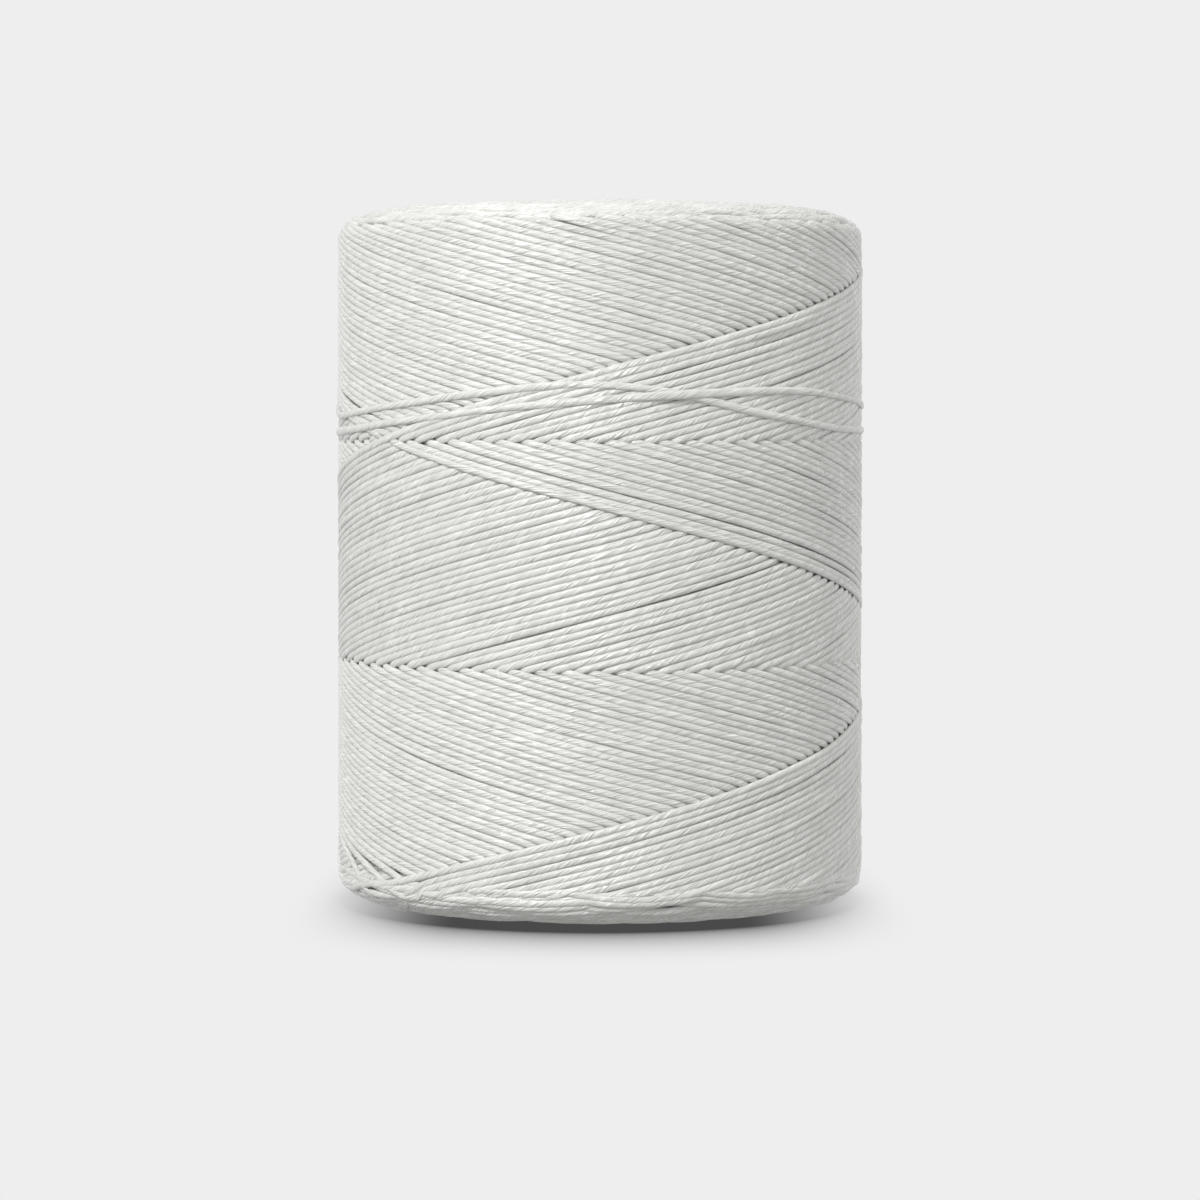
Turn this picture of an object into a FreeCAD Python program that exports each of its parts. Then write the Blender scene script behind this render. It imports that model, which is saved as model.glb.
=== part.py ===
import FreeCAD, Part
import math
import os

# Waxed thread spool: one long waxed thread, cross-wound on a paper tube that stands on its end.
# Millimetres, +Z up. The origin is the centre of the tube's foot. Azimuth 0 is the front, -Y,
# and azimuths grow towards +X, the way in which the thread runs round the drum.

# Paper tube, wound in a spiral from a smooth liner, grey body plies and a cover ply
bore_diameter = 25.4
liner_thickness = 0.4
plies_thickness = 1.8
cover_thickness = 0.3
tube_stand_out = 0.3            # the tube past the wound thread, at each end

# Wound thread
wound_diameter = 70.0
wound_height = 91.4
shoulder_width = 8.0            # from the side to the flat of the end
shoulder_height = 3.6           # from the flat of the end to where the side is straight
shoulder_bevels = 3             # the round between them is faceted too
thread_diameter = 0.75           # round; pressed flat on the real drum, it lies about 0.9 wide
thread_sides = 4                # the thread is faceted
crossing_gap = 0.45             # clear space where one stretch of thread passes over another
seat_gap = 0.05                 # between a thread and what it lies on

# Winding: the thread climbs and falls in long strokes, with nearly three turns to each pair
double_strokes = 5
drum_turns = 3                  # for a falling and a rising stroke, before each pair falls short
foot_inset = 5.9                # lowest turning point, above the wound thread's foot
head_inset = 3.0                # highest turning point, below its head
turning_degrees = 20.0          # half of the bend in which a stroke turns back, in degrees
spans_per_stroke = 5            # about a quarter turn each

# Loose end: it leaves the last falling stroke and goes twice round the waist
waist_height = 62.6             # its level run behind, above the tube's foot
leaving_height = 6.7            # where it leaves the stroke, above that run
leaving_azimuth_degrees = -151.0
loose_spread = 5.8              # from that run to the crest of its first time round
tuck_azimuth_degrees = 524.0    # about where its end dips between the strokes
tuck_height = 3.0               # about the height of that dip, above the run

tube_length = wound_height + 2 * tube_stand_out
liner_radius = bore_diameter / 2
plies_radius = liner_radius + liner_thickness
cover_radius = plies_radius + plies_thickness
tube_radius = cover_radius + cover_thickness
foot = tube_stand_out
head = tube_stand_out + wound_height

# The thread lies in levels: rising strokes, falling strokes over them, then the loose end
level_step = thread_diameter + crossing_gap
falling_radius = (wound_diameter - thread_diameter) / 2
rising_radius = falling_radius - level_step
drum_radius = rising_radius - thread_diameter / 2 - seat_gap
loose_radius = falling_radius + thread_diameter + 2 * seat_gap
loose_over_radius = loose_radius + level_step

turning = math.radians(turning_degrees)
lowest = foot + foot_inset
highest = head - head_inset
stroke_angle = math.pi * (drum_turns - 1 / double_strokes)   # so that each pair lands beside the last
rise = (highest - lowest) / (stroke_angle - turning)      # height gained per radian
top_corner = highest + rise * turning / 2                 # where two straight strokes would meet
leaving_angle = (top_corner - waist_height - leaving_height) / rise
first_azimuth = math.radians(leaving_azimuth_degrees) - leaving_angle

# The loose end's route: azimuth, height above the level run as a share of its spread, and radius
loose_route = [
    (-98, 0.22, loose_radius),
    (-45, 0.59, loose_radius),
    (-5, 1.0, loose_radius),
    (36, 0.34, loose_radius),
    (82, 0.02, loose_radius),
    (150, 0.0, loose_radius),
    (215, -0.02, loose_radius),
    (278, -0.05, loose_radius),
    (315, 0.19, loose_radius),
    (350, 0.55, loose_radius),
    (372, 0.74, loose_over_radius),
    (405, 0.86, loose_radius),
    (444, 0.62, loose_radius),
    (486, 0.45, loose_radius),
]


def save(name, shape):
    """Writes one sub-part under its node's name."""
    shape.exportStep("parts/" + name + ".step")


def ring(inner_radius, outer_radius):
    """A ply of the tube: a pipe from the tube's foot to its head."""
    outer = Part.makeCylinder(outer_radius, tube_length)
    return outer.cut(Part.makeCylinder(inner_radius, tube_length))


def inner_windings():
    """The layers beneath the outermost, as one body with a flat, bevelled shoulder at each end."""
    flat_radius = wound_diameter / 2 - shoulder_width
    profile = []
    for end, side in ((foot, -1), (head, 1)):
        shoulder = []
        for bevel in range(shoulder_bevels + 1):
            turn = math.pi / 2 * bevel / shoulder_bevels
            radius = flat_radius + (drum_radius - flat_radius) * math.sin(turn)
            height = end - side * shoulder_height * (1 - math.cos(turn))
            shoulder.append(FreeCAD.Vector(radius, 0, height))
        corner = [FreeCAD.Vector(tube_radius, 0, end)] + shoulder
        profile += corner if side < 0 else corner[::-1]
    outline = Part.makePolygon(profile + profile[:1])
    return Part.Face(outline).revolve(FreeCAD.Vector(), FreeCAD.Vector(0, 0, 1), 360)


def outward(azimuth):
    """The direction straight out of the drum."""
    return FreeCAD.Vector(math.sin(azimuth), -math.cos(azimuth), 0)


def along(azimuth):
    """The level direction in which the thread runs."""
    return FreeCAD.Vector(math.cos(azimuth), math.sin(azimuth), 0)


def station(azimuth, height, radius, climb=0.0, swell=0.0):
    """A point of a route and its heading; climb and swell are the height and radius per radian."""
    point = outward(azimuth) * radius + FreeCAD.Vector(0, 0, height)
    heading = along(azimuth) * radius + outward(azimuth) * swell + FreeCAD.Vector(0, 0, climb)
    return point, heading.normalize()


def arc_along(start, heading, end):
    """The arc that leaves start along heading and reaches end."""
    chord = end - start
    half_turn = chord.getAngle(heading)
    if half_turn < 1e-6:
        return Part.makeLine(start, end)
    side = heading - chord * (heading.dot(chord) / chord.dot(chord))
    middle = (start + end) * 0.5 + side.normalize() * (chord.Length / 2 * math.tan(half_turn / 2))
    return Part.Arc(start, middle, end).toShape()


def biarc(first, last):
    """Two arcs that join two stations and share one tangent where they meet."""
    start, leaving = first
    end, arriving = last
    gap = end - start
    both = leaving + arriving
    square = 2 * (1 - leaving.dot(arriving))
    linear = 2 * gap.dot(both)
    reach = 2 * gap.dot(gap) / (linear + math.sqrt(linear * linear + 4 * square * gap.dot(gap)))
    middle = (start + leaving * reach + end - arriving * reach) * 0.5
    joint_heading = (end - arriving * reach - start - leaving * reach).normalize()
    return [arc_along(start, leaving, middle), arc_along(middle, joint_heading, end)]


def dip(azimuth, height, radius, climb, way):
    """The thread's end at a station: a bend, then straight down to the drum, square to it.

    A way of 1 comes up from the drum to the station, and -1 goes down from it. The edges are
    in the thread's order.
    """
    point, heading = station(azimuth, height, radius, climb)
    up = outward(azimuth)
    depth = radius - drum_radius - seat_gap
    bend = depth - thread_diameter
    neck = point - (heading * way + up) * bend
    middle = neck + heading * (way * bend * (1 - math.sqrt(0.5))) + up * (bend * math.sqrt(0.5))
    straight = Part.makeLine(neck - up * thread_diameter, neck)
    if way > 0:
        return [straight, Part.Arc(neck, middle, point).toShape()]
    return [Part.Arc(point, middle, neck).toShape(), Part.makeLine(neck, neck - up * thread_diameter)]


def stroke_station(angle):
    """The station on the winding at an angle from its first turning point, on a straight stretch."""
    stroke = int(angle // stroke_angle)
    drop = rise * (angle - stroke * stroke_angle)
    azimuth = first_azimuth + angle
    if stroke % 2 == 0:
        return station(azimuth, top_corner - drop, falling_radius, -rise)
    return station(azimuth, top_corner - rise * stroke_angle + drop, rising_radius, rise)


def winding_path():
    """Outermost layer: falling strokes lie over rising ones, and each pair lands beside the last."""
    crossing_angle = math.pi / double_strokes
    start_angle = (math.floor(leaving_angle / crossing_angle) + 1.5) * crossing_angle
    end_angle = 2 * double_strokes * stroke_angle + leaving_angle
    straight = stroke_angle - 2 * turning
    stops = [start_angle]
    for stroke in range(2 * double_strokes + 1):
        for span in range(spans_per_stroke + 1):
            angle = stroke * stroke_angle + turning + straight * span / spans_per_stroke
            if start_angle + turning < angle < end_angle - turning:
                stops.append(angle)
    stops.append(end_angle)
    stations = [stroke_station(angle) for angle in stops]
    start_height = top_corner - rise * start_angle
    edges = dip(first_azimuth + start_angle, start_height, falling_radius, -rise, 1)
    for first, last in zip(stations, stations[1:]):
        edges += biarc(first, last)
    end, heading = stations[-1]
    edges.append(Part.makeLine(end, end + heading * thread_diameter))
    return edges


def opening_near(azimuth, height):
    """The middle of the space between four crossing strokes that lies nearest to a place."""
    pitch = 2 * math.pi * rise / double_strokes
    falling_start = top_corner + rise * first_azimuth
    rising_start = top_corner - rise * (first_azimuth + 2 * stroke_angle)
    falling = height + rise * azimuth - falling_start
    rising = height - rise * azimuth - rising_start
    falling = falling_start + (math.floor(falling / pitch) + 0.5) * pitch
    rising = rising_start + (math.floor(rising / pitch) + 0.5) * pitch
    return (falling - rising) / (2 * rise), (falling + rising) / 2


def loose_path():
    """Loose end: on from the winding's last station, round the waist twice, and tucked in."""
    end_angle = 2 * double_strokes * stroke_angle + leaving_angle
    end, heading = stroke_station(end_angle)
    start = end + heading * thread_diameter
    lead = start + heading * thread_diameter
    begin = math.radians(leaving_azimuth_degrees) + 2 * thread_diameter / falling_radius
    tuck = opening_near(math.radians(tuck_azimuth_degrees), waist_height + tuck_height)
    places = [(begin, lead.z, falling_radius)]
    for azimuth, share, radius in loose_route:
        places.append((math.radians(azimuth), waist_height + share * loose_spread, radius))
    places.append((tuck[0], tuck[1], loose_radius))
    stations = [(lead, heading)]
    for before, here, after in zip(places, places[1:], places[2:]):
        stretch = after[0] - before[0]
        stations.append(station(*here, (after[1] - before[1]) / stretch, (after[2] - before[2]) / stretch))
    climb = (places[-1][1] - places[-2][1]) / (places[-1][0] - places[-2][0])
    stations.append(station(*places[-1], climb))
    edges = [Part.makeLine(start, lead)]
    for first, last in zip(stations, stations[1:]):
        edges += biarc(first, last)
    return edges + dip(*places[-1], climb, -1)


def thread_along(edges):
    """One unbroken faceted thread, carried along a path."""
    start = edges[0].valueAt(edges[0].FirstParameter)
    heading = edges[0].tangentAt(edges[0].FirstParameter)
    across = heading.cross(FreeCAD.Vector(0, 0, 1)).normalize()
    over = heading.cross(across)
    corners = []
    for side in range(thread_sides + 1):
        turn = 2 * math.pi * side / thread_sides
        corners.append(start + (across * math.cos(turn) + over * math.sin(turn)) * (thread_diameter / 2))
    return Part.Wire(edges).makePipeShell([Part.makePolygon(corners)], True, False)


def points_along(edges):
    """Points along a path, about a sample step apart."""
    points = []
    for edge in edges:
        points += edge.discretize(Number=max(2, int(edge.Length / sample_step) + 1))[:-1]
    return points


def least_gap(points, others, skip=0):
    """Least clear space between two threads, or of one to itself past a number of points."""
    cell = 2 * level_step
    cells = {}
    for number, point in enumerate(others):
        key = (int(point.x // cell), int(point.y // cell), int(point.z // cell))
        cells.setdefault(key, []).append((number, point))
    near = [(i, j, k) for i in (-1, 0, 1) for j in (-1, 0, 1) for k in (-1, 0, 1)]
    least = cell
    for number, point in enumerate(points):
        key = (int(point.x // cell), int(point.y // cell), int(point.z // cell))
        for i, j, k in near:
            for other_number, other in cells.get((key[0] + i, key[1] + j, key[2] + k), ()):
                if abs(other_number - number) >= skip:
                    least = min(least, point.distanceToPoint(other))
    return least - thread_diameter


os.makedirs("parts", exist_ok=True)

save("core_liner", ring(liner_radius, plies_radius))
save("core_body_plies", ring(plies_radius, cover_radius))
save("core_cover_ply", ring(cover_radius, tube_radius))
save("inner_windings", inner_windings())

winding = winding_path()
loose = loose_path()
outer_turns = thread_along(winding)
loose_end = thread_along(loose)
save("outer_turns", outer_turns)
save("loose_end", loose_end)

sample_step = 0.4
near_by = round(4 * level_step / sample_step)
winding_points = points_along(winding)
loose_points = points_along(loose)
print("outer turns: %.0f turns, %.0f mm of thread" % (
    double_strokes * stroke_angle / math.pi, sum(edge.Length for edge in winding)))
print("loose end: %.0f mm of thread" % sum(edge.Length for edge in loose))
print("least gap of the outer turns to themselves: %.2f mm" % least_gap(winding_points, winding_points, near_by))
print("least gap of the loose end to itself: %.2f mm" % least_gap(loose_points, loose_points, near_by))
print("least gap between them, past where they join: %.2f mm" % (
    least_gap(loose_points[2 * near_by:], winding_points[:-2 * near_by])))
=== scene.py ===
import bpy
import numpy as np
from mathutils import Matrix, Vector


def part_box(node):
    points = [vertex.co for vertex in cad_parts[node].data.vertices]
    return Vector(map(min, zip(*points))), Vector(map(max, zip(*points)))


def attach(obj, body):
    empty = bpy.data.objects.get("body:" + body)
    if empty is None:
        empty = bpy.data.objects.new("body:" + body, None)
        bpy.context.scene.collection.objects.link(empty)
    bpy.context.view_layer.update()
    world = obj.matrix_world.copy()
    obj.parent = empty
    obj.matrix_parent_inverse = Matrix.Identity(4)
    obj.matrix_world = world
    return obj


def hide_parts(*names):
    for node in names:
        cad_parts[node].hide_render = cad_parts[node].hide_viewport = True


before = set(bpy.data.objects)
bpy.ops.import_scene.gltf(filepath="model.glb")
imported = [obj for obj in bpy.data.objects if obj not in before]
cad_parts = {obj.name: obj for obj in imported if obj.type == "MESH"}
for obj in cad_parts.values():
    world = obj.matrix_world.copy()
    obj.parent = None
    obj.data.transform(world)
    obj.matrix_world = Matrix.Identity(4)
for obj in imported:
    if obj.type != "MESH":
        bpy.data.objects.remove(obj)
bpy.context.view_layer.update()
mm = 0.001

# Camera
# A long lens stands half a metre in front of the spool, a little above its middle. It looks down by
# a degree, and the shift does the rest of the framing, so that the sides stay upright.
eye = Vector((0.0, -0.5, 63.06 * mm))
look_down = np.radians(1.0)
lens_data = bpy.data.cameras.new("camera")
lens_data.sensor_width = 36.0
lens_data.lens = 112.32
lens_data.shift_y = -0.09
lens_data.clip_start = 0.01
camera = bpy.data.objects.new("camera", lens_data)
camera.location = eye
camera.rotation_euler = (np.pi / 2 - look_down, 0.0, 0.0)
bpy.context.scene.collection.objects.link(camera)
bpy.context.scene.camera = camera


# Outer turns
# The last layer of the waxed thread: one unbroken length, laid in long strokes that climb and fall on
# the drum. Each pair of strokes lands one thread's width beside the pair before it.
thread_width = 1.02 * mm
thread_depth = 0.62 * mm
double_strokes = 63
rise = 9.14 * mm                         # height gained for each radian of turn
corner_azimuth = np.radians(-52.1)       # where the newest pair turns back at the foot
corner_height = 4.02 * mm                # where the straight strokes would meet there
turn_round = 0.10                        # radians over which a stroke bends into the next
age_drop = 0.06 * mm                     # the newest turns stand this much prouder than the oldest
dive_length = 0.55 * mm                  # a stroke goes under another over about this length
fine_step = 0.25 * mm

wound_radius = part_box("outer_turns")[1].x
wound_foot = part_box("inner_windings")[0].z
wound_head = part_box("inner_windings")[1].z
shoulder_width = 8.0 * mm
shoulder_height = 3.6 * mm

step_angle = 2 * np.pi / double_strokes
stroke_angle = np.pi * (3 - 1 / double_strokes)
bend_gain = np.hypot(stroke_angle / 2, turn_round) - stroke_angle / 2
top_corner_height = corner_height + rise * 2 * (stroke_angle / 2 + bend_gain)


def wander(places, wavelength, chance):
    """A smooth random wave of unit size: random values at even knots, eased from each to the next."""
    spots = (places - places.min()) / wavelength
    knot = np.floor(spots).astype(int)
    share = spots - knot
    ease = share * share * (3 - 2 * share)
    values = chance.normal(size=knot.max() + 2)
    return values[knot] * (1 - ease) + values[knot + 1] * ease


def smoothed(values, spread):
    """The values under a bell-shaped moving average, spread samples wide."""
    reach = int(np.ceil(3 * spread))
    bell = np.exp(-0.5 * (np.arange(-reach, reach + 1) / spread) ** 2)
    padded = np.pad(values, reach, mode="edge")
    return np.convolve(padded, bell / bell.sum(), mode="valid")


def package_radius(height):
    """The wound surface: a cylinder whose two ends round off as quarter ellipses to flat faces."""
    past = np.maximum(wound_foot + shoulder_height - height, height - wound_head + shoulder_height)
    share = np.clip(past / shoulder_height, 0, 1)
    return wound_radius - shoulder_width * (1 - np.sqrt(1 - share * share))


def on_cylinder(azimuth, radius, height):
    """Points at an azimuth from the front, growing to the right, at a radius and a height."""
    return np.stack([radius * np.sin(azimuth), -radius * np.cos(azimuth), height], axis=-1)


# At a corner the thread slips on outwards: by a length, at a place measured from the corner, and
# over a reach, both in radians. The first four are the newest loops at the foot, newest first.
newest_slips = (
    (4.8 * mm, -0.42, 0.27), (3.7 * mm, -0.15, 0.17), (1.4 * mm, -0.12, 0.16), (0.9 * mm, -0.1, 0.15))
foot_slips = (0.2 * mm, 0.8 * mm)
foot_slip_place = -0.05
head_slips = (-0.1 * mm, 0.6 * mm)
head_slip_places = (-0.2, 0.1)
other_slip_reach = 0.14
hanging_slip = 0.85 * mm                 # a loop that slips further than this hangs past the others
hanging_start = 0.02                     # radians before the slip's place


def stroke_heights(turned, chance):
    """Height along the whole thread: down b times the angle, then up, with each corner a hyperbola.

    At a corner a bell-shaped slip is added, outwards. It returns the heights with and without the
    slips, and where a falling stroke at the foot hangs past the others and so lies on top of them.
    """
    corners = np.arange(2 * double_strokes + 2)
    at_foot = corners % 2 == 1
    slip = np.where(
        at_foot, chance.uniform(*foot_slips, corners.size), chance.uniform(*head_slips, corners.size))
    slip_place = np.where(at_foot, foot_slip_place, chance.uniform(*head_slip_places, corners.size))
    slip_reach = np.full(corners.size, other_slip_reach)
    for age, (length, place, reach) in enumerate(newest_slips):
        corner = 2 * double_strokes - 1 - 2 * age
        slip[corner], slip_place[corner], slip_reach[corner] = length, place, reach
    nearest = np.rint(turned / stroke_angle).astype(int)
    past = turned - nearest * stroke_angle
    climb = rise * np.hypot(past, turn_round)
    slipped = slip[nearest] * np.exp(-((past - slip_place[nearest]) / slip_reach[nearest]) ** 2)
    plain = np.where(at_foot[nearest], corner_height + climb, top_corner_height - climb)
    height = plain + np.where(at_foot[nearest], -slipped, slipped)
    before_corner = (past < 0) & (past > slip_place[nearest] - hanging_start)
    hangs_past = at_foot[nearest] & (slip[nearest] > hanging_slip) & before_corner
    return height, plain, hangs_past


# The strokes stray from their even places: by two waves along the thread, by a scatter from stroke
# to stroke, by one wider groove between two rising strokes, by the newest falling strokes crowding
# down at the foot, and by the gaps beside the newest strokes. In depth the newest stand proud, and
# one more wave runs along the thread. Ages and reaches are in double strokes.
side_waves = ((0.03 * mm, 24 * mm), (0.025 * mm, 6 * mm))
scatter = 0.035 * mm
scatter_limit = 0.08 * mm
groove = 0.12 * mm
groove_age = 33.5
groove_reach = 1.5
crowding = 0.6 * mm
crowding_top = 22 * mm                   # height where the crowding starts
crowding_growth = 14 * mm                # height over which it grows to its full size
crowding_reach = 6.0
newest_gaps = np.array([0.0, -0.22, -0.12, 0.0]) * mm
rising_gap_share = -0.4
newest_proud = 0.08 * mm
newest_proud_reach = 1.2
depth_wave, depth_wavelength = 0.03 * mm, 9 * mm


def layer(chance):
    """The whole outer layer on even steps: azimuth, height, depth, run, stroke, and what lies on top.

    An age counts double strokes back from the newest. At any place, the age of the rising stroke
    there is (azimuth passed - angle climbed) / step angle, and that of the falling one has a plus
    sign. The younger of the two lies on top.
    """
    total = 2 * double_strokes * stroke_angle
    pace = fine_step / np.hypot(wound_radius, rise)
    turned = np.arange(0, total, pace)
    azimuth = corner_azimuth - (2 * double_strokes - 1) * stroke_angle + turned
    stroke = (turned / stroke_angle).astype(int)
    rising = stroke % 2 == 1
    own_age = double_strokes - 1 - stroke // 2
    height, plain, hangs_past = stroke_heights(turned, chance)
    run = turned * np.hypot(wound_radius, rise)

    aside = sum(size * wander(run, wavelength, chance) for size, wavelength in side_waves)
    by_stroke = scatter * chance.normal(size=2 * double_strokes)
    aside += np.clip(by_stroke, -scatter_limit, scatter_limit)[stroke]
    from_groove = groove_age - own_age
    aside += groove * rising * np.sign(from_groove) * np.exp(-np.abs(from_groove) / groove_reach)
    near_foot = np.clip((crowding_top - height) / crowding_growth, 0, 1) ** 2
    aside -= crowding * ~rising * near_foot * (own_age > 0) * np.exp(-(own_age - 1) / crowding_reach)
    aside += newest_gaps[np.minimum(own_age, 3)] * np.where(rising, rising_gap_share, 1.0)
    height = height + aside

    travelled = (plain - corner_height) / rise
    passed = azimuth - corner_azimuth
    rising_age = ((passed - travelled) / step_angle + 0.5) % double_strokes - 0.5
    falling_age = ((passed + travelled) / step_angle + 0.5) % double_strokes - 0.5
    on_top = np.where(rising, own_age - 0.5 < falling_age, own_age < rising_age - 0.5) | hangs_past
    other_age = np.where(rising, falling_age, rising_age)
    depth = thread_depth / 2 + age_drop * (own_age + other_age) / double_strokes
    depth = depth + np.where(on_top, 0.0, thread_depth)
    depth = smoothed(depth, dive_length / fine_step)
    depth -= newest_proud * np.exp(-own_age / newest_proud_reach)
    depth += depth_wave * wander(run, depth_wavelength, chance)
    return {"azimuth": azimuth, "height": height, "depth": depth, "run": run, "stroke": stroke,
            "on_top": on_top}


def mesh_piece(name, points, faces, uv=None):
    """A smooth mesh object from arrays: points, four corners for each face, and a place per corner."""
    mesh = bpy.data.meshes.new(name)
    mesh.vertices.add(len(points))
    mesh.vertices.foreach_set("co", points.astype(np.float32).ravel())
    mesh.loops.add(faces.size)
    mesh.loops.foreach_set("vertex_index", faces.astype(np.int32).ravel())
    mesh.polygons.add(len(faces))
    mesh.polygons.foreach_set("loop_start", np.arange(0, faces.size, faces.shape[1], dtype=np.int32))
    mesh.polygons.foreach_set("use_smooth", np.ones(len(faces), dtype=bool))
    mesh.update(calc_edges=True)
    if uv is not None:
        mesh.uv_layers.new(name="thread").uv.foreach_set("vector", uv.astype(np.float32).ravel())
    mesh.validate()
    piece = bpy.data.objects.new(name, mesh)
    bpy.context.scene.collection.objects.link(piece)
    return piece


section_sides = 10
tip_girth = 0.02


def thread_tube(centres, outward, width, depth, run):
    """One thread: at each centre a flattened ring, W / 2 cos a to the side and D / 2 sin a outwards.

    The first and last rings shrink to its tips. It returns points, faces and a place for each
    corner of a face: the run along the thread, and a / 2 pi.
    """
    heading = np.gradient(centres, axis=0)
    heading /= np.linalg.norm(heading, axis=1)[:, None]
    side = np.cross(heading, outward)
    side /= np.linalg.norm(side, axis=1)[:, None]
    out = np.cross(side, heading)
    turn = 2 * np.pi * np.arange(section_sides) / section_sides
    girth = np.ones(len(centres))
    girth[[0, -1]] = tip_girth
    across = side[:, None] * (np.cos(turn)[None, :] * (width * girth / 2)[:, None])[..., None]
    above = out[:, None] * (np.sin(turn)[None, :] * (depth * girth / 2)[:, None])[..., None]
    points = (centres[:, None] + across + above).reshape(-1, 3)
    ring = np.arange(len(centres) - 1)[:, None] * section_sides
    here = ring + np.arange(section_sides)[None, :]
    after = ring + (np.arange(section_sides)[None, :] + 1) % section_sides
    faces = np.stack([here, here + section_sides, after + section_sides, after], axis=-1).reshape(-1, 4)
    around = np.arange(section_sides)[None, :] / section_sides + np.zeros((len(centres) - 1, 1))
    low, high = run[:-1, None] + 0 * around, run[1:, None] + 0 * around
    step = 1 / section_sides
    places = np.stack([
        np.stack([low, around], -1), np.stack([high, around], -1),
        np.stack([high, around + step], -1), np.stack([low, around + step], -1)], axis=2)
    return points, faces, places.reshape(-1, 2)


def join_tubes(name, tubes):
    """One piece from several threads."""
    counts = np.cumsum([0] + [len(tube[0]) for tube in tubes])
    points = np.concatenate([tube[0] for tube in tubes])
    faces = np.concatenate([tube[1] + first for tube, first in zip(tubes, counts)])
    uv = np.concatenate([tube[2] for tube in tubes])
    return mesh_piece(name, points, faces, uv)


class Socket:
    """A shader socket that takes part in sums, so that an expression adds its Math nodes."""

    def __init__(self, finish, socket):
        self.finish = finish
        self.socket = socket

    def maths(self, operation, *others):
        """A Math node on this value and any others."""
        values = dict(enumerate((self, *others)))
        return self.finish.node("ShaderNodeMath", {"operation": operation}, values)

    def __add__(self, other):
        return self.maths("ADD", other)

    def __sub__(self, other):
        return self.maths("SUBTRACT", other)

    def __rsub__(self, other):
        return (self * -1).maths("ADD", other)

    def __mul__(self, other):
        return self.maths("MULTIPLY", other)

    def __truediv__(self, other):
        return self.maths("DIVIDE", other)

    __radd__ = __add__
    __rmul__ = __mul__

    def other(self, output):
        """Another output of the same node."""
        return Socket(self.finish, self.socket.node.outputs[output])


class Finish:
    """The node tree of a material or of the world."""

    def __init__(self, holder):
        self.holder = holder
        holder.use_nodes = True
        self.tree = holder.node_tree
        self.tree.nodes.clear()

    def node(self, kind, settings=None, values=None, output=0):
        """Any node: its type, its settings, then the values or links of its sockets. Gives an output."""
        node = self.tree.nodes.new(kind)
        for setting, value in (settings or {}).items():
            if setting == "stops":
                for stop, (place, shade) in zip(node.color_ramp.elements, value):
                    stop.position = place
                    stop.color = (shade, shade, shade, 1.0)
            else:
                setattr(node, setting, value)
        for name, value in (values or {}).items():
            if isinstance(value, Socket):
                self.tree.links.new(value.socket, node.inputs[name])
            else:
                node.inputs[name].default_value = value
        return Socket(self, node.outputs[output]) if len(node.outputs) else None

    def mix(self, share, first, second):
        """A colour between two, by a share."""
        return self.node("ShaderNodeMix", {"data_type": "RGBA"}, {0: share, 6: first, 7: second}, output=2)

    def wear(self, piece):
        """Puts this material on a piece."""
        piece.data.materials.clear()
        piece.data.materials.append(self.holder)


plies = 3
twist_lead = 6.4 * mm                    # run in which the plies turn once round the thread
waxed_dark = (0.53, 0.53, 0.50, 1.0)
waxed_light = (0.74, 0.74, 0.715, 1.0)


def waxed_thread_finish():
    """Off-white filament thread: three plies with a slow, uneven twist, filaments and dabs of wax.

    The lay is the share round the thread, less the run over the lead, plus a slow noise. The plies
    are |sin(3 pi lay)|, and the filaments are a noise of the run and the lay, finer along the run.
    """
    finish = Finish(bpy.data.materials.new("waxed_thread"))
    place = finish.node("ShaderNodeUVMap", {"uv_map": "thread"})
    along = finish.node("ShaderNodeSeparateXYZ", None, {0: place})
    around = along.other(1)
    loosened = finish.node(
        "ShaderNodeTexNoise", {"noise_dimensions": "1D"}, {"W": along * 22, "Scale": 1.0, "Detail": 3.0})
    lay = around - along / twist_lead + loosened * 3.0
    ply = (lay * (plies * np.pi)).maths("SINE").maths("ABSOLUTE")
    stretched = finish.node("ShaderNodeCombineXYZ", None, {0: along * 250, 1: lay * 12})
    filaments = finish.node("ShaderNodeTexNoise", {"noise_dimensions": "2D"}, {
        "Vector": stretched, "Scale": 1.0, "Detail": 3.0})
    spots = finish.node("ShaderNodeTexCoord", None, None, output=3)
    dabs = finish.node("ShaderNodeTexNoise", None, {"Vector": spots, "Scale": 420.0, "Detail": 2.0})
    relief = ply * 0.16 + filaments
    bump = finish.node(
        "ShaderNodeBump", None, {"Strength": 1.0, "Distance": 0.20 * mm, "Height": relief})
    streaks = filaments * 0.8 + dabs * 0.2
    shade = finish.node("ShaderNodeValToRGB", {"stops": ((0.3, 0.0), (0.72, 1.0))}, {0: streaks})
    surface = finish.node("ShaderNodeBsdfPrincipled", None, {
        "Base Color": finish.mix(shade, waxed_dark, waxed_light), "Roughness": dabs * 0.26 + 0.10,
        "Normal": bump, "IOR": 1.55, "Specular IOR Level": 0.75})
    finish.node("ShaderNodeOutputMaterial", None, {0: surface})
    return finish


waxed_thread = waxed_thread_finish()
chance = np.random.default_rng(7)
turns = layer(chance)
groups = 7                               # so that a piece stays under 200,000 triangles
per_group = double_strokes // groups
seen_ring_gap = 0.6 * mm                 # between the rings of a tube where it can be seen
hidden_ring_gap = 2.4 * mm
seen_margin = 1.2 * mm                   # the close rings go on about this far where it dives
seen_share = 0.03
width_wave, width_wavelength = 0.05, 11 * mm
thickness_wave, thickness_wavelength = 0.06, 8 * mm

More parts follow.
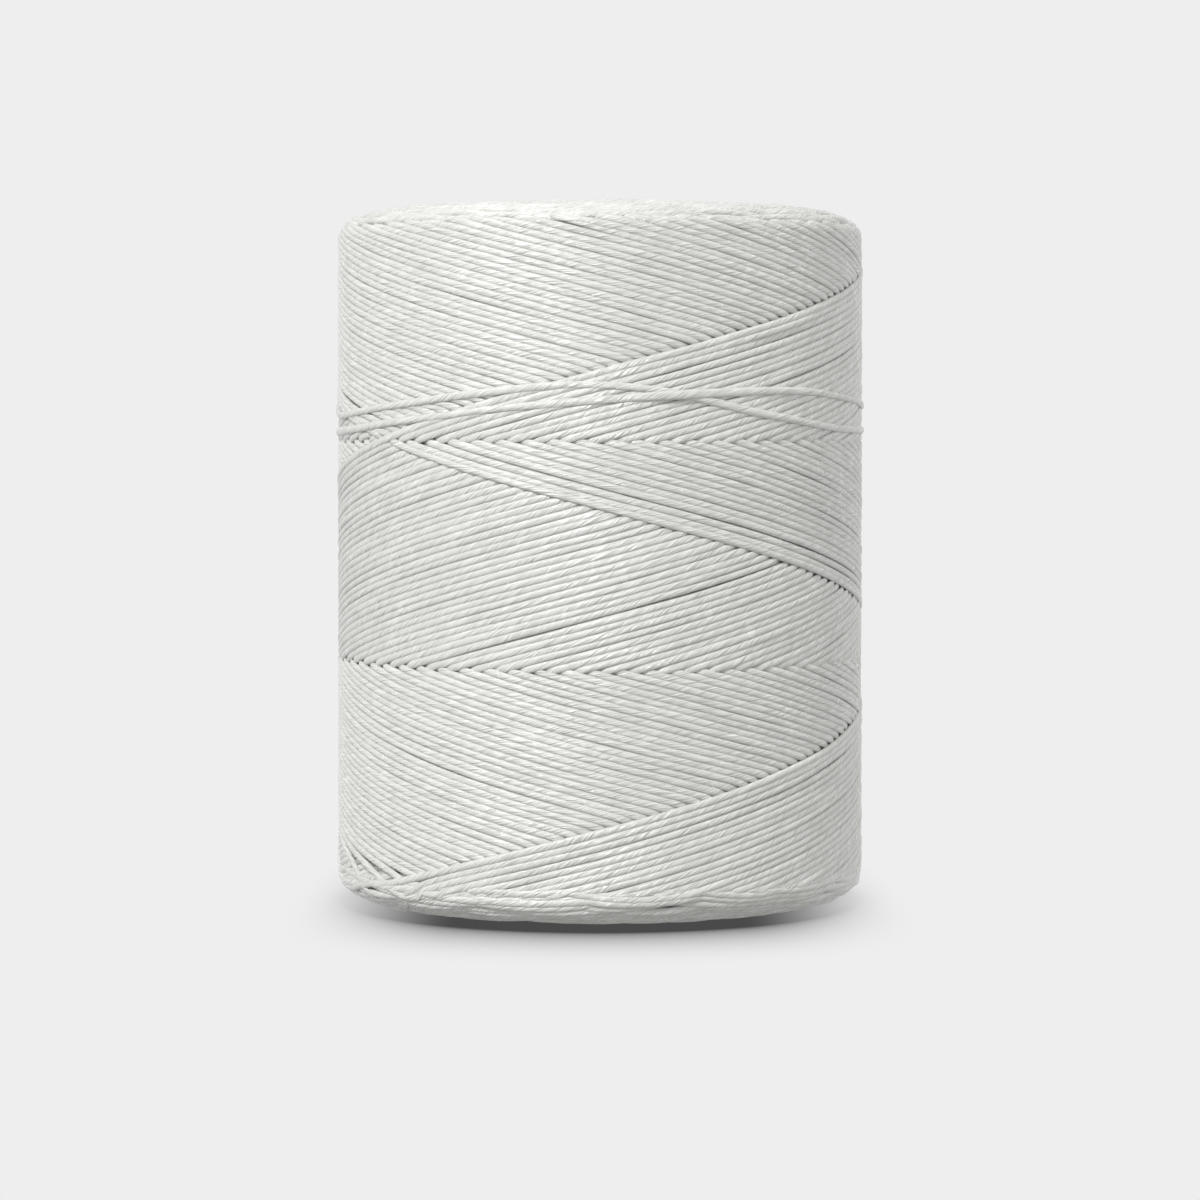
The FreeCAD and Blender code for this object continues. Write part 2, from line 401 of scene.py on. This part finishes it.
for group in range(groups):
    inside = turns["stroke"] // (2 * per_group) == group
    run = turns["run"][inside]
    near_top = smoothed(turns["on_top"][inside].astype(float), seen_margin / fine_step) > seen_share
    rings = np.cumsum(np.where(near_top, fine_step / seen_ring_gap, fine_step / hidden_ring_gap))
    picked = np.interp(np.arange(rings[0], rings[-1]), rings, np.arange(run.size))
    at = np.arange(run.size)
    run_at = np.interp(picked, at, run)
    azimuth = np.interp(picked, at, turns["azimuth"][inside])
    height = np.interp(picked, at, turns["height"][inside])
    depth = np.interp(picked, at, turns["depth"][inside])
    centres = on_cylinder(azimuth, package_radius(height) - depth, height)
    outward = on_cylinder(azimuth, np.ones_like(azimuth), np.zeros_like(azimuth))
    width = thread_width * (1 + width_wave * wander(run_at, width_wavelength, chance))
    thickness = thread_depth * (1 + thickness_wave * wander(run_at, thickness_wavelength, chance))
    tube = thread_tube(centres, outward, width, thickness, run_at)
    piece = join_tubes("outer_turns_%d" % (group + 1), [tube])
    waxed_thread.wear(piece)
    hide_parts("outer_turns")
    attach(piece, "root")


# Loose end
# The thread leaves its last falling stroke behind the spool, goes twice round the waist by hand and
# is tucked in under the outer turns. The places are azimuths in degrees and heights in millimetres.
loose_route = np.array([
    (-160, 77.9), (-125, 72.0), (-100, 67.2), (-77, 63.9), (-66, 64.8), (-50, 65.7), (-33, 66.8),
    (-20, 67.6), (-5, 68.5), (6, 68.1), (16, 67.3), (30, 65.3), (44, 63.9), (58, 62.9), (80, 62.6),
    (120, 62.5), (170, 62.4), (220, 62.3), (260, 62.3), (283, 62.5), (297, 62.8), (310, 63.6),
    (324, 64.3), (336, 65.3), (352, 66.0), (370, 66.8), (390, 67.5), (410, 67.7), (422, 66.9),
    (440, 66.2), (465, 65.3), (500, 64.4), (524, 64.2)])
loose_step = 0.7                         # degrees
loose_easing = 9                         # steps over which its bends are eased
sunk = 0.08 * mm                         # its middle lies this deep in the wound surface
crossing = np.radians(377)               # where it passes over its own first time round
crossing_lift = 0.36 * mm
crossing_reach = 0.10                    # radians
leaving_turn = 12                        # degrees in which it comes out of the turns
leaving_depth = 0.9 * mm
tuck_start = 515                         # degrees at which it starts to dip into the turns again
tuck_turn = 9
tuck_depth = 1.2 * mm

loose_azimuth = np.radians(np.arange(loose_route[0, 0], loose_route[-1, 0], loose_step))
loose_height = mm * np.interp(np.degrees(loose_azimuth), loose_route[:, 0], loose_route[:, 1])
loose_height = smoothed(loose_height, loose_easing)
loose_run = (loose_azimuth - loose_azimuth[0]) * wound_radius
loose_height = loose_height + 0.05 * mm * wander(loose_run, 9 * mm, chance)
proud = crossing_lift * np.exp(-((loose_azimuth - crossing) / crossing_reach) ** 2) - sunk
into_the_turns = np.clip((np.degrees(loose_azimuth) - tuck_start) / tuck_turn, 0, 1)
proud -= tuck_depth * into_the_turns ** 2
still_inside = np.clip(1 - np.degrees(loose_azimuth - loose_azimuth[0]) / leaving_turn, 0, 1)
proud -= leaving_depth * still_inside ** 2
loose_tube = thread_tube(
    on_cylinder(loose_azimuth, wound_radius + proud, loose_height),
    on_cylinder(loose_azimuth, np.ones_like(loose_azimuth), np.zeros_like(loose_azimuth)),
    thread_width * (1 + 0.06 * wander(loose_run, 8 * mm, chance)),
    0.95 * thread_depth * (1 + 0.06 * wander(loose_run, 6 * mm, chance)), loose_run)
loose_end = join_tubes("loose_end_wraps", [loose_tube])
waxed_thread.wear(loose_end)
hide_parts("loose_end")
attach(loose_end, "root")


# Packed layers
# All the thread beneath the outer turns, pressed into one firm body on the paper tube. Only hints of
# it show in the grooves between the turns, in the thread's colour darkened as painted shade.
tube_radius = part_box("core_cover_ply")[1].x
packed_depth = 2.35 * thread_depth       # of the body under the wound surface, at the side
end_depth = 0.9 * thread_depth           # and at the flat ends
shoulder_rows = 12
side_rows = 58
around_count = 240
flat_radius = wound_radius - shoulder_width

profile_turn = np.linspace(0, np.pi / 2, shoulder_rows)
shoulder_out = flat_radius + (shoulder_width - packed_depth) * np.sin(profile_turn)
shoulder_down = shoulder_height * (1 - np.cos(profile_turn))
side_heights = np.linspace(
    wound_foot + shoulder_height, wound_head - shoulder_height, side_rows + 2)[1:-1]
profile_radius = np.concatenate([
    [tube_radius], shoulder_out, np.full(side_rows, shoulder_out[-1]), shoulder_out[::-1],
    [tube_radius]])
profile_height = np.concatenate([
    [wound_foot + end_depth], wound_foot + end_depth + shoulder_down, side_heights,
    wound_head - end_depth - shoulder_down[::-1], [wound_head - end_depth]])
spin = 2 * np.pi * np.arange(around_count) / around_count
body_points = on_cylinder(
    spin[None, :] + 0 * profile_radius[:, None], profile_radius[:, None] + 0 * spin[None, :],
    profile_height[:, None] + 0 * spin[None, :]).reshape(-1, 3)
row = np.arange(profile_radius.size)
row_after = (row + 1) % profile_radius.size
column = np.arange(around_count)
column_after = (column + 1) % around_count
body_faces = np.stack([
    row[:, None] * around_count + column[None, :], row[:, None] * around_count + column_after[None, :],
    row_after[:, None] * around_count + column_after[None, :],
    row_after[:, None] * around_count + column[None, :]], axis=-1).reshape(-1, 4)
packed_layers = mesh_piece("packed_layers", body_points, body_faces)


def packed_painted_shade_finish():
    """The thread's colour darkened as painted shade for the grooves where it shows, with a fine grain."""
    finish = Finish(bpy.data.materials.new("packed_thread_painted_shade"))
    spots = finish.node("ShaderNodeTexCoord", None, None, output=3)
    grain = finish.node("ShaderNodeTexNoise", None, {"Vector": spots, "Scale": 900.0, "Detail": 2.0})
    bump = finish.node("ShaderNodeBump", None, {"Strength": 0.6, "Distance": 0.2 * mm, "Height": grain})
    # Painted shade: darker copies of the thread's colours, for where the body shows in the grooves.
    colour = finish.mix(grain, (0.46, 0.46, 0.44, 1.0), (0.62, 0.62, 0.60, 1.0))
    surface = finish.node("ShaderNodeBsdfPrincipled", None, {
        "Base Color": colour, "Roughness": 0.5, "Normal": bump})
    finish.node("ShaderNodeOutputMaterial", None, {0: surface})
    return finish


packed_painted_shade_finish().wear(packed_layers)
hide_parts("inner_windings")
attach(packed_layers, "root")


# End turns
# At both ends the threads of every layer turn back. Each shows as a short arc that rises to the end
# and dives again under its neighbours, in rows from the paper tube out over the shoulder.
row_gap = 0.62 * mm
first_flat_row = 0.45 * mm               # from the paper tube
first_shoulder_row = 0.3 * mm            # from the edge of the flat end
bare_foot = 4.6 * mm                     # height below which no outer turn reaches
bare_head = 2.2 * mm                     # the same at the head, down from the end
arc_gap = 12 * mm                        # between the middles of two arcs in a row
arc_shift = 0.3                          # by how much of that gap an arc strays at most
arc_half = 1.15                          # half an arc's length, in gaps
arc_step = 1.0 * mm
arc_bends = (0.25, 0.5)                  # radians over which an arc bends at its middle
waver_size = 0.07 * mm
waver_length = 3.4 * mm                  # for each radian of the waver
tip_dive = 1.3 * mm
bare_dive = 0.95 * mm
bare_dive_growth = 1.2 * mm              # height over which the dive past the bare height grows


def turning_arcs(end, inward, bare, chance):
    """Arcs at one end, whose height falls from that end by f (sqrt(a a + d d) - d).

    The azimuth from an arc's middle is a, its bend is d, and f is the outer turns' rise in
    proportion to the radius, which hardly changes along an arc. Past the bare height, where the
    outer turns begin, and towards its tips, an arc dives under what lies on it.
    """
    tubes = []
    slant = np.linspace(0, np.pi / 2, 200)
    outline_radius = flat_radius + shoulder_width * np.sin(slant)
    outline_drop = shoulder_height * (1 - np.cos(slant))
    length = np.append(0, np.cumsum(np.hypot(np.diff(outline_radius), np.diff(outline_drop))))
    on_shoulder = np.arange(
        first_shoulder_row, length[-1] + max(bare - shoulder_height, 0), row_gap)
    flat_rows = np.arange(tube_radius + first_flat_row, flat_radius, row_gap)
    rows = np.concatenate([flat_rows, np.interp(on_shoulder, length, outline_radius)])
    past_shoulder = np.maximum(on_shoulder - length[-1], 0)
    drops = np.concatenate([0 * flat_rows, np.interp(on_shoulder, length, outline_drop) + past_shoulder])
    for radius, drop in zip(rows, drops):
        share = np.clip((radius - flat_radius) / shoulder_width, 0, 1)
        arcs = int(round(2 * np.pi * radius / arc_gap))
        start = chance.uniform(0, 2 * np.pi)
        for arc in range(arcs):
            middle = start + 2 * np.pi * (arc + chance.uniform(-arc_shift, arc_shift)) / arcs
            half = arc_half * 2 * np.pi / arcs * chance.uniform(0.8, 1.2)
            turn = np.linspace(-half, half, max(8, int(2 * half * radius / arc_step)))
            bend = chance.uniform(*arc_bends)
            waver = waver_size * np.sin(turn * radius / waver_length + chance.uniform(0, 6.28))
            fall = rise * radius / wound_radius
            sink = drop + fall * (np.hypot(turn, bend) - bend) + waver * share
            dive = thread_depth / 2 + chance.uniform(0.0, 0.2) * mm
            dive = dive + tip_dive * np.clip(np.abs(turn) / half * 2 - 1, 0, 1) ** 2
            dive = dive + bare_dive * np.clip((sink - bare) / bare_dive_growth, 0, 1)
            at_radius = radius - dive * share + waver * (1 - share)
            centres = on_cylinder(middle + turn, at_radius, end + inward * (sink + dive * (1 - share)))
            slope = np.array([0.0, 0.0, -inward]) * (1.1 - share)
            outward = on_cylinder(middle + turn, share, 0 * turn) + slope
            run = (turn + half) * radius + chance.uniform(0, 50) * mm
            width = np.full(turn.size, thread_width * chance.uniform(0.92, 1.08))
            tubes.append(thread_tube(centres, outward, width, width * 0.66, run))
    return tubes


for name, end, inward, bare in (
        ("foot_turns", wound_foot, 1.0, bare_foot), ("head_turns", wound_head, -1.0, bare_head)):
    piece = join_tubes(name, turning_arcs(end, inward, bare, chance))
    waxed_thread.wear(piece)
    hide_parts("inner_windings")
    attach(piece, "root")


# Paper tube
# A spiral-wound tube: a smooth liner, grey body plies and a kraft cover, glued into one wall. Its
# CAD pieces stay and get their paper.
def paper_finish(name, dark, light, fibre_scale, seam_lead):
    """Paper: short fibres, mottle, and a thin spiral seam where turns and leads add up to a whole."""
    finish = Finish(bpy.data.materials.new(name))
    spots = finish.node("ShaderNodeTexCoord", None, None, output=3)
    x = finish.node("ShaderNodeSeparateXYZ", None, {0: spots})
    y, z = x.other(1), x.other(2)
    fibres = finish.node("ShaderNodeTexNoise", None, {"Vector": spots, "Scale": fibre_scale, "Detail": 5.0})
    mottle = finish.node("ShaderNodeTexNoise", None, {"Vector": spots, "Scale": 160.0, "Detail": 2.0})
    winding = y.maths("ARCTAN2", x) / (2 * np.pi) + z / seam_lead
    seam = (winding.maths("FRACT") - 0.5).maths("ABSOLUTE").maths("GREATER_THAN", 0.488)
    tone = fibres * 0.6 + mottle * 0.4 - seam * 0.45
    colour = finish.mix(tone, dark, light)
    bump = finish.node("ShaderNodeBump", None, {
        "Strength": 0.5, "Distance": 0.08 * mm, "Height": fibres - seam * 0.8})
    surface = finish.node("ShaderNodeBsdfPrincipled", None, {
        "Base Color": colour, "Roughness": 0.78, "Normal": bump})
    finish.node("ShaderNodeOutputMaterial", None, {0: surface})
    return finish


paper_finish("liner_paper", (0.36, 0.26, 0.17, 1), (0.66, 0.53, 0.39, 1), 900.0, 62 * mm).wear(
    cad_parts["core_liner"])
paper_finish("grey_board", (0.22, 0.2, 0.17, 1), (0.52, 0.48, 0.42, 1), 1300.0, 55 * mm).wear(
    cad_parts["core_body_plies"])
paper_finish("cover_paper", (0.33, 0.24, 0.16, 1), (0.62, 0.5, 0.36, 1), 1000.0, 70 * mm).wear(
    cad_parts["core_cover_ply"])


# Floor and light
# A seamless pale surface in the backdrop's own colour, with the spool's contact shadow on it. A soft
# box stands at the front left, and a wide, weak one overhead and a small one at the right help it.
backdrop = (0.855, 0.855, 0.858, 1.0)
spokes = 64
floor_turn = np.linspace(0, 2 * np.pi, spokes + 1)[:-1]
floor_rings = np.array([0.0005, 0.05, 0.12, 0.3, 1.2])
floor_points = on_cylinder(
    floor_turn[None, :] + 0 * floor_rings[:, None], floor_rings[:, None] + 0 * floor_turn[None, :],
    0 * floor_rings[:, None] + 0 * floor_turn[None, :]).reshape(-1, 3)
inner = np.arange(floor_rings.size - 1)[:, None] * spokes
spoke = np.arange(spokes)[None, :]
spoke_after = (spoke + 1) % spokes
floor_faces = np.stack([
    inner + spoke, inner + spokes + spoke, inner + spokes + spoke_after, inner + spoke_after],
    axis=-1).reshape(-1, 4)
floor = mesh_piece("floor", floor_points, floor_faces)


def seen_directly(finish):
    """1 where the camera sees the surface, also in a reflection or through glass, and 0 elsewhere."""
    camera_ray = finish.node("ShaderNodeLightPath", None, None, output="Is Camera Ray")
    mirrored = camera_ray.other("Is Glossy Ray")
    through = camera_ray.other("Is Transmission Ray")
    return (camera_ray + mirrored + through).maths("MINIMUM", 1.0)


# The floor's colour is the backdrop's, less a soft contact shadow: the darker, the more of the sky
# the spool hides within the shadow's reach, and less so beside it than before and behind it.
shadow_reach = 30 * mm
shadow_falloff = 1.53
shadow_gain = 2.75
shadow_limit = 0.92
floor_finish = Finish(bpy.data.materials.new("pale_floor"))
spots = floor_finish.node("ShaderNodeTexCoord", None, None, output=3)
aside_of_it = floor_finish.node("ShaderNodeSeparateXYZ", None, {0: spots}).maths("ABSOLUTE")
flank = floor_finish.node("ShaderNodeMapRange", {"interpolation_type": "SMOOTHSTEP"}, {
    "Value": aside_of_it, "From Min": 18 * mm, "From Max": 42 * mm, "To Min": 1.0, "To Max": 0.0})
open_sky = floor_finish.node(
    "ShaderNodeAmbientOcclusion", {"samples": 24}, {"Distance": shadow_reach}, output=1)
hidden = (1 - open_sky).maths("MAXIMUM", 0.0).maths("POWER", shadow_falloff)
darkness = (hidden * shadow_gain).maths("MINIMUM", shadow_limit) * flank
tone = floor_finish.mix(darkness, backdrop, (0.0, 0.0, 0.0, 1.0))
bright = floor_finish.node("ShaderNodeEmission", None, {"Color": tone, "Strength": 1.0})
dim = floor_finish.node("ShaderNodeEmission", None, {"Color": backdrop, "Strength": 0.66})
surface = floor_finish.node(
    "ShaderNodeMixShader", None, {0: seen_directly(floor_finish), 1: dim, 2: bright})
floor_finish.node("ShaderNodeOutputMaterial", None, {0: surface})
floor_finish.wear(floor)

world = bpy.data.worlds.new("studio")
bpy.context.scene.world = world
studio = Finish(world)
ambient = studio.node("ShaderNodeBackground", None, {"Color": (1.0, 1.0, 1.0, 1.0), "Strength": 0.74})
visible = studio.node("ShaderNodeBackground", None, {"Color": backdrop, "Strength": 1.0})
sky = studio.node("ShaderNodeMixShader", None, {0: seen_directly(studio), 1: ambient, 2: visible})
studio.node("ShaderNodeOutputWorld", None, {0: sky})


def soft_box(name, azimuth, elevation, distance, size, watts):
    """A square lamp that faces the middle of the spool from an azimuth and an elevation."""
    middle = Vector((0, 0, (wound_foot + wound_head) / 2))
    level = distance * np.cos(elevation)
    place = Vector((level * np.sin(azimuth), -level * np.cos(azimuth), distance * np.sin(elevation)))
    lamp_data = bpy.data.lights.new(name, "AREA")
    lamp_data.size = size
    lamp_data.energy = watts
    lamp = bpy.data.objects.new(name, lamp_data)
    lamp.location = middle + place
    lamp.rotation_euler = (-place).to_track_quat("-Z", "Y").to_euler()
    bpy.context.scene.collection.objects.link(lamp)


soft_box("key_box", np.radians(-35), np.radians(40), 0.9, 0.15, 6.2)
soft_box("top_box", np.radians(10), np.radians(66), 0.9, 0.6, 0.5)
soft_box("rim_box", np.radians(92), np.radians(35), 0.9, 0.10, 0.9)

bpy.context.scene.view_settings.view_transform = "Standard"
